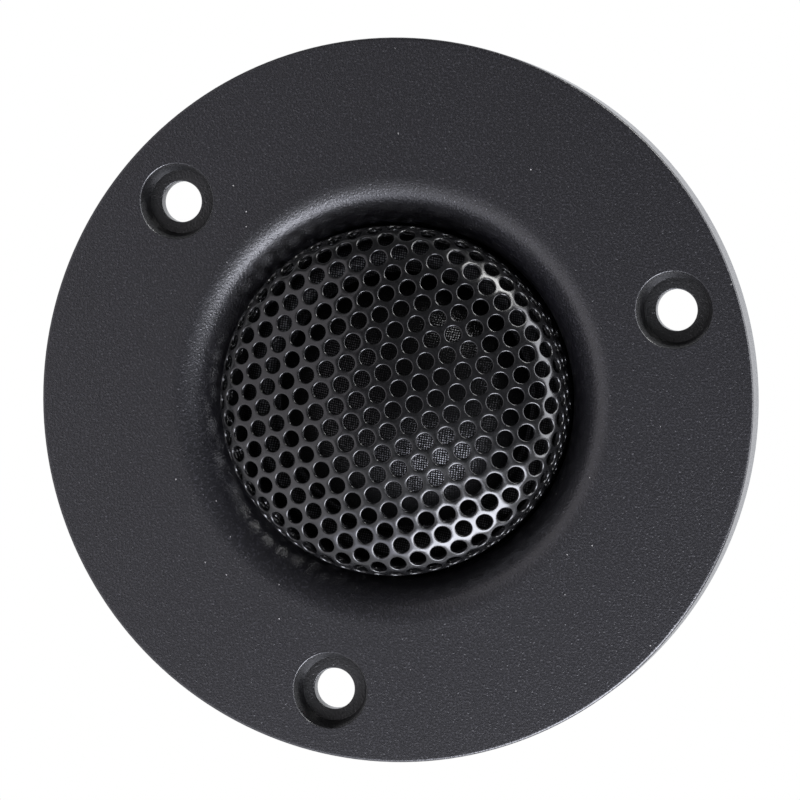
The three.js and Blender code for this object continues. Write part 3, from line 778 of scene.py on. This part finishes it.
def surround():
    """A half roll of the same cloth, glued to the ring outside and to the dome inside."""
    inner, roll_inner, roll_outer, outer = 12.4, 13, 16.2, 18.6
    middle, roll = (roll_inner + roll_outer) / 2, (roll_outer - roll_inner) / 2
    front, rear = DOME_EDGE_Y - CLOTH / 2, DOME_EDGE_Y + CLOTH / 2
    inside = roll - CLOTH / 2
    half_turn = angles(0, math.pi, 24)
    front_arc = [(middle - roll * math.cos(t), front - roll * math.sin(t)) for t in half_turn]
    rear_arc = [(middle + inside * math.cos(t), rear - inside * math.sin(t)) for t in half_turn]
    outline = [(inner, front), *front_arc, (outer, front), (outer, rear), *rear_arc, (inner, rear)]
    obj = place(turned("surround_roll", outline), "surround", body=None)
    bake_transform(obj)
    follow_by_radius(obj, roll_outer, roll_inner)


def follow_by_radius(obj, fixed, moving):
    """Works out each point's share of the diaphragm's travel by its radius, but moves nothing, so the roll
    does not bend.
    """
    for v in obj.data.vertices:
        t = (fixed - math.hypot(v.co.x, v.co.z) / MM) / (fixed - moving)
        t = min(max(t, 0), 1)


def voice_coil():
    """A tube of film, and the winding as one body whose outside shows its turns."""
    low, high = span("voice_coil_former")
    film_thickness = 0.25
    tube = washer("coil_former", high.x - film_thickness, high.x, low.y, high.y, 0.05)
    place(tube, "voice_coil_former", DIAPHRAGM)
    low, high = span("voice_coil_winding")
    turns, inner = 20, 12.76
    pitch = (high.y - low.y) / turns
    wire = pitch / 2
    outline = [(inner, high.y), (inner, low.y)]
    for k in range(turns):
        for t in angles(0, math.pi, 6):
            crest = high.x - wire + wire * math.sin(t)
            outline.append((crest, low.y + pitch * k + wire * (1 - math.cos(t))))
    place(turned("coil_winding", outline, sharp_degrees=80), "voice_coil_winding", DIAPHRAGM)


# ---- motor ----
def motor():
    """The ring that holds the diaphragm, the plate, the magnet, the yoke and the cap on its pole."""
    low, high = span("diaphragm_ring")
    inner = 16.4
    ring = washer("mounting_ring", inner, high.x, low.y, high.y, 0.15)
    slots = []
    for pole in POLES:
        a, b = span("coil_tab_" + pole)
        slots.append(block("slot", (a.x - 0.3, b.x + 0.3), (a.y - 0.1, high.y + 1), (-20, -15)))
    place(flat_shaded_planes(carve(ring, slots)), "diaphragm_ring")
    for node, inner in (("top_plate", 13.5), ("magnet_ring", 14.6)):
        low, high = span(node)
        place(washer(node + "_turned", inner, high.x, low.y, high.y, 0.3), node)
    low, high = span("t_yoke")
    vent, pole, plate_front = 4, 11.95, 11.55
    place(turned("yoke_turned", rounded([
        (vent, low.y, 0.5), (pole, low.y, 0.3), (pole, plate_front, 0.2), (high.x, plate_front, 0.3),
        (high.x, high.y, 0.3), (vent, high.y, 0.5),
    ])), "t_yoke")
    low, high = span("copper_cap")
    hole, sheet = 4.5, 0.2
    inside = high.x - sheet
    place(turned("cap_drawn", rounded([
        (hole, low.y, 0.05), (high.x, low.y, 0.25), (high.x, high.y, 0.05), (inside, high.y, 0.05),
        (inside, low.y + sheet, 0.1), (hole, low.y + sheet, 0.05),
    ])), "copper_cap")


def fluffed(obj, amount_mm, lump_mm):
    """Pushes a soft piece's surface in unevenly, by up to an amount, so that it stays in its outline."""
    texture = bpy.data.textures.new(obj.name, "CLOUDS")
    texture.noise_scale = lump_mm * MM
    texture.noise_depth = 2
    push = obj.modifiers.new("fluff", "DISPLACE")
    push.texture = texture
    push.mid_level = 1
    push.strength = amount_mm * MM
    push.texture_coords = "GLOBAL"
    return settle(obj)


def soft_fillings():
    low, high = span("pole_felt")
    inner = 4.5
    outline = rounded([
        (inner, low.y, 0.5), (high.x, low.y, 0.5), (high.x, high.y, 0.2), (inner, high.y, 0.2),
    ])
    felt = turned("felt_pad", dense(outline, 0.3))
    place(fluffed(felt, amount_mm=0.25, lump_mm=0.8), "pole_felt")
    low, high = span("damping_wool")
    outline = rounded([
        (0, low.y, 0), (high.x, low.y, 1.6), (high.x, high.y, 1.6), (0, high.y, 0),
    ], closed=False)
    wool = turned("wool_wad", dense(outline, 0.5, closed=False), closed=False)
    place(fluffed(wool, amount_mm=1.2, lump_mm=3), "damping_wool")


def dense(outline, step, closed=True):
    """The same outline with points no further apart than step."""
    points = []
    following = outline[1:] + outline[:1] if closed else outline[1:]
    for (r1, y1), (r2, y2) in zip(outline, following):
        count = max(1, math.ceil(math.hypot(r2 - r1, y2 - y1) / step))
        points += [(r1 + (r2 - r1) * k / count, y1 + (y2 - y1) * k / count) for k in range(count)]
    return points if closed else points + [outline[-1]]


# ---- rear chamber and its screws ----
RIVET_HOLE = 1


def rear_chamber():
    """A can with a flange, a moulding mark in its back and a channel of two ribs for the leads."""
    low, high = span("rear_chamber")
    outer, flange, flange_rear = 19.2, 23.4, 6
    motor_bore, air_bore, shoulder, floor = 17.9, 16.4, 14.15, 20.3
    mark, groove = 7, 0.2
    obj = turned("chamber_shell", rounded([
        (0, floor, 0), (air_bore, floor, 0.6), (air_bore, shoulder, 0.2), (motor_bore, shoulder, 0.2),
        (motor_bore, low.y, 0.2), (flange, low.y, 0.3), (flange, flange_rear, 0.4),
        (outer, flange_rear, 0.7), (outer, high.y, 1.4), (mark + groove, high.y, 0.15),
        (mark, high.y - groove, 0.1), (mark - groove, high.y, 0.15), (0, high.y, 0),
    ], closed=False, steps=6), closed=False)
    rib_inner, rib_outer, rib_front, rib_rear = 2.4, 3.2, 8, high.y - 2.3
    ribs = []
    for side in (-1, 1):
        across = sorted((side * rib_inner, side * rib_outer))
        rib = block("rib", across, (rib_front, rib_rear), (-outer - 1.75, -outer + 0.6))
        ribs.append(bevelled(rib, 0.2))
    carve(obj, ribs, "UNION")
    window_half, window_depth = 3.3, 2
    window_across = (-window_half, window_half)
    window_along = (low.y - 1, low.y + window_depth)
    cutters = [block("window", window_across, window_along, (-flange - 1, -motor_bore + 1))]
    bores = [(node, CHAMBER_SCREW_HOLE) for node in CHAMBER_SCREWS]
    bores += [(node, RIVET_HOLE) for node in RIVETS]
    for node, radius in bores:
        front, rear = (corner.y for corner in span(node))
        cutters.append(pin(radius, front - 0.5, rear + 1, centre_of(node)))
    carve(obj, cutters)
    place(flat_shaded_planes(obj), "rear_chamber")


def chamber_screw(node):
    """A pan head with a cross recess, and a shank with a ringed thread."""
    low, high = span(node)
    x, z = centre_of(node)
    head, head_rear, shank = high.x - x, high.y, 0.95
    head_front = head_rear - 1.4
    outline = [(0, low.y), (shank * 0.5, low.y + 0.1)]
    thread, y = 0.5, low.y + 0.6
    while y < head_front - 1:
        outline += [(shank * 0.8, y), (shank, y + thread * 0.4), (shank * 0.8, y + thread * 0.8)]
        y += thread
    outline += [(shank, y), (shank, head_front), (head - 0.1, head_front), (head, head_front + 0.12)]
    side, crown = head_front + 0.5, 0.9
    outline += [(head * math.cos(t), side + crown * math.sin(t)) for t in angles(0, math.pi / 2, 8)[:-1]]
    outline.append((0, head_rear))
    obj = turned(node + "_turned", outline, closed=False, steps=64, centre=(x, z))
    arm, half_width, depth = 0.95, 0.2, 0.9
    cross = [
        block("arm", (x - a, x + a), (head_rear - depth, head_rear + 1), (z - b, z + b))
        for a, b in ((arm, half_width), (half_width, arm))
    ]
    place(flat_shaded_planes(carve(obj, cross), 40), node)


# ---- terminals and leads ----
QUARTER_TURN = Matrix.Rotation(math.pi / 2, 4, "X")  # stands a turned piece upright


def terminal_board():
    """An oblong board with round corners and broken edges."""
    low, high = span("terminal_board")
    radius = 1.5
    left, right = low.x + radius, high.x - radius
    bottom, top = low.z + radius, high.z - radius
    outline = []
    for quarter, (x, z) in enumerate([(right, bottom), (right, top), (left, top), (left, bottom)]):
        start = math.pi / 2 * (quarter - 1)
        for t in angles(start, start + math.pi / 2, 6):
            outline.append((x + radius * math.cos(t), z + radius * math.sin(t)))
    faces = [[(x, y, z) for x, z in outline] for y in (low.y, high.y)]
    obj = bevelled(prism("board_plate", *faces), 0.1)
    cutters = [pin(RIVET_HOLE, low.y - 1, high.y + 1, centre_of(node)) for node in RIVETS]
    place(flat_shaded_planes(carve(obj, cutters)), "terminal_board")


def terminal(pole):
    """A foot on the board, a rounded bend, and a blade with chamfered corners and an eye."""
    node = "terminal_" + pole
    low, high = span(node)
    sheet, bend, inner_bend, eye_radius = 0.5, 0.7, 0.3, 0.7
    blade_z, foot_rear = high.z - sheet, low.y + sheet
    outline = [(foot_rear, low.z), (low.y, low.z)]
    outline += curve_between((low.y, high.z - bend), (low.y, high.z), (low.y + bend, high.z), 6)
    outline += [(high.y, high.z), (high.y, blade_z)]
    inner_start, inner_end = (foot_rear + inner_bend, blade_z), (foot_rear, blade_z - inner_bend)
    outline += curve_between(inner_start, (foot_rear, blade_z), inner_end, 4)
    obj = folded_strip(node, outline)
    cutters = [corner_cutter(x, side, high.y, blade_z) for side, x in ((-1, low.x), (1, high.x))]
    middle = (low.x + high.x) / 2
    rivet_z = centre_of("rivet_" + pole)[1]
    cutters.append(pin(RIVET_HOLE, low.y - 1, low.y + 2, (middle, rivet_z)))
    eye = pin(eye_radius, -2, 2)
    eye.data.transform(QUARTER_TURN)
    eye.data.transform(Matrix.Translation(Vector((middle, high.y - 2, blade_z)) * MM))
    cutters.append(eye)
    carve(obj, cutters)
    place(bevelled(obj, 0.06, 2), node)


def corner_cutter(x, side, tip, z):
    """A wedge that takes the corner off a blade's tip."""
    size, spare = 0.7, 0.5
    corners = [
        (x + side * spare, tip - size - spare), (x + side * spare, tip + spare),
        (x - side * (size + spare), tip + spare),
    ]
    below, above = ([(*corner, level) for corner in corners] for level in (z - 1, z + 2))
    return prism("wedge", below, above)


def rivet(node):
    """A shank and a flat head with a dimple."""
    low, high = span(node)
    head, shank, rear = (high.x - low.x) / 2, 0.8, high.y
    outline = rounded([
        (0, low.y, 0), (shank, low.y, 0.1), (shank, rear - 0.6, 0), (head, rear - 0.6, 0.1),
        (head, rear - 0.2, 0.2), (head * 0.6, rear, 0.15), (0.45, rear, 0.1), (0.4, rear - 0.5, 0.1),
        (0, rear - 0.5, 0),
    ], closed=False)
    place(turned(node + "_set", outline, closed=False, steps=48, centre=centre_of(node)), node)


LEAD_X, TERMINAL_X = 1.3, 4.5
LEAD_RADIUS, BARE_RADIUS, TINSEL_RADIUS = 0.54, 0.3, 0.18
SOLDER = solder()


def lead(pole, side):
    """The same route as the CAD lead: out of the window, between the ribs and over the edge to the foot."""
    node = "lead_" + pole
    x, foot_x = side * LEAD_X, side * TERMINAL_X
    route = [
        (x, 5, -18.3), (x, 5, -19.2), (x, 6.6, -20.1), (x, 9, -20.1), (x, 15, -20.1), (x, 20.4, -20.1),
        (side * (LEAD_X + 0.2), 23.2, -19.4), (side * (LEAD_X + 1), 24.7, -17),
        (side * (LEAD_X + 2.3), 25.5, -12), (foot_x, 25.6, -8), (foot_x, 25.6, -6.6),
    ]
    place(tube_along(node + "_sleeve", route, LEAD_RADIUS, sides=24, samples=10), node)
    bare = [(foot_x, 25.6, -6.8), (foot_x, 25.5, -6.4), (foot_x, 25.2, -5.8)]
    place(tube_along(node + "_bare_end", bare, BARE_RADIUS, sides=16), "copper_sheet", stands_for=False)
    drop = place(solder_joint(node + "_solder", (foot_x, 24.8, -5.9)), "brass_tab", stands_for=False)
    drop.data.materials[0] = SOLDER


def solder_joint(name, centre):
    """A low round drop of solder on a foot."""
    radius, height = 1.0, 0.75
    outline = [
        (radius * math.cos(t) ** 0.8, height * math.sin(t)) for t in angles(0, math.pi / 2, 12)[1:-1]
    ]
    obj = turned(name, [(0, 0), (radius, 0), *outline, (0, height)], closed=False, steps=48)
    obj.data.transform(Matrix.Translation(Vector(centre) * MM))
    return obj


def coil_tab(node):
    """A small brass angle on the ring, where a tinsel lead meets a sleeved one."""
    low, high = span(node)
    sheet = 0.3
    outline = [
        (low.y, high.z), (low.y, low.z), (high.y, low.z), (high.y, low.z + sheet),
        (low.y + sheet, low.z + sheet), (low.y + sheet, high.z),
    ]
    place(bevelled(folded_strip(node, outline), 0.05, 2), node)


def inner_wiring():
    for pole, side in POLES.items():
        coil_tab("coil_tab_" + pole)
        route = [
            (side * 2, 2.75, -13), (side * 2.2, 2.75, -14), (side * 2.1, 3.05, -15), (side * 2.08, 3, -16),
        ]
        tinsel = tube_along("tinsel_braid_" + pole, route, TINSEL_RADIUS, sides=12)
        place(tinsel, "tinsel_lead_" + pole, body=None)
        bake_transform(tinsel)


# ---- studio ----
def softbox(name, azimuth, elevation, distance, size, radiance, color=(1, 1, 1)):
    """A rectangular light that faces the object. Azimuth is in degrees from the front to the right."""
    a, e = math.radians(azimuth), math.radians(elevation)
    data = bpy.data.lights.new(name, "AREA")
    data.shape = "RECTANGLE"
    data.size, data.size_y = size
    data.energy = radiance * math.pi * size[0] * size[1]
    data.color = color
    light = bpy.data.objects.new(name, data)
    light.location = Vector((math.sin(a) * math.cos(e), -math.cos(a) * math.cos(e), math.sin(e))) * distance
    light.rotation_euler = (-light.location).to_track_quat("-Z", "Y").to_euler()
    bpy.context.scene.collection.objects.link(light)


def surroundings():
    """White where the camera sees past the object; it lights the object mostly from behind."""
    world = bpy.data.worlds.new("studio")
    bpy.context.scene.world = world
    world.use_nodes = True
    tree = world.node_tree
    tree.nodes.clear()
    out = tree.nodes.new("ShaderNodeOutputWorld")
    mixed = tree.nodes.new("ShaderNodeMixShader")
    seen = tree.nodes.new("ShaderNodeBackground")
    seen.inputs["Color"].default_value = (1, 1, 1, 1)
    glow = tree.nodes.new("ShaderNodeBackground")
    glow.inputs["Color"].default_value = (0.97, 0.985, 1.03, 1)
    direction = tree.nodes.new("ShaderNodeTexCoord")
    split = tree.nodes.new("ShaderNodeSeparateXYZ")
    behind = tree.nodes.new("ShaderNodeMapRange")
    for socket, value in (("From Min", -0.1), ("From Max", 0.2), ("To Min", 0.1), ("To Max", 1.05)):
        behind.inputs[socket].default_value = value
    path = tree.nodes.new("ShaderNodeLightPath")
    link = tree.links.new
    link(direction.outputs["Generated"], split.inputs[0])
    link(split.outputs["Y"], behind.inputs["Value"])
    link(behind.outputs[0], glow.inputs["Strength"])
    link(path.outputs["Is Camera Ray"], mixed.inputs[0])
    link(glow.outputs[0], mixed.inputs[1])
    link(seen.outputs[0], mixed.inputs[2])
    link(mixed.outputs[0], out.inputs[0])


def floor():
    """Pale paper, which the camera sees as almost white."""
    radius, level = 2000, -500
    disc = turned("floor", [(0, -1), (radius, -1), (radius, 0), (0, 0)], closed=False, steps=64)
    disc.data.transform(QUARTER_TURN)
    disc.location.z = level * MM
    paper = Shader("floor_paper", (0.85, 0.85, 0.85), 0.9, Emission_Color=(1, 1, 1, 1))
    shade = paper.ramp(paper.noise(40), 0.3, 0.7)
    paper.base(paper.mix(shade, (0.84, 0.84, 0.84), (0.87, 0.87, 0.87)))
    seen_directly = paper.node("ShaderNodeLightPath", "Is Camera Ray")
    paper.set(paper.surface, "Emission Strength", paper.math("MULTIPLY", seen_directly, 0.5))
    disc.data.materials.append(paper.material)


def studio():
    bpy.context.scene.view_settings.view_transform = "Standard"
    surroundings()
    softbox("low_key", 34, -49, 0.42, (0.32, 0.26), 16.5, (0.95, 0.97, 1.08))
    softbox("high_kicker", 66, 52, 0.6, (0.38, 0.14), 15)
    softbox("right_strip", 84, 8, 0.6, (0.3, 0.7), 6.8, (0.97, 0.98, 1.05))
    softbox("left_wall", -50, -2, 0.7, (0.7, 1.3), 0.9, (1.02, 0.98, 1.06))
    softbox("low_fill", -12, -50, 0.6, (0.36, 0.24), 2.4, (0.92, 0.94, 1.14))
    floor()


faceplate()
grille()
gaskets()
dome()
surround()
voice_coil()
motor()
soft_fillings()
rear_chamber()
for screw in CHAMBER_SCREWS:
    chamber_screw(screw)
terminal_board()
for each_pole in POLES:
    terminal(each_pole)
for each_rivet in RIVETS:
    rivet(each_rivet)
inner_wiring()
for each_pole, each_side in POLES.items():
    lead(each_pole, each_side)
studio()
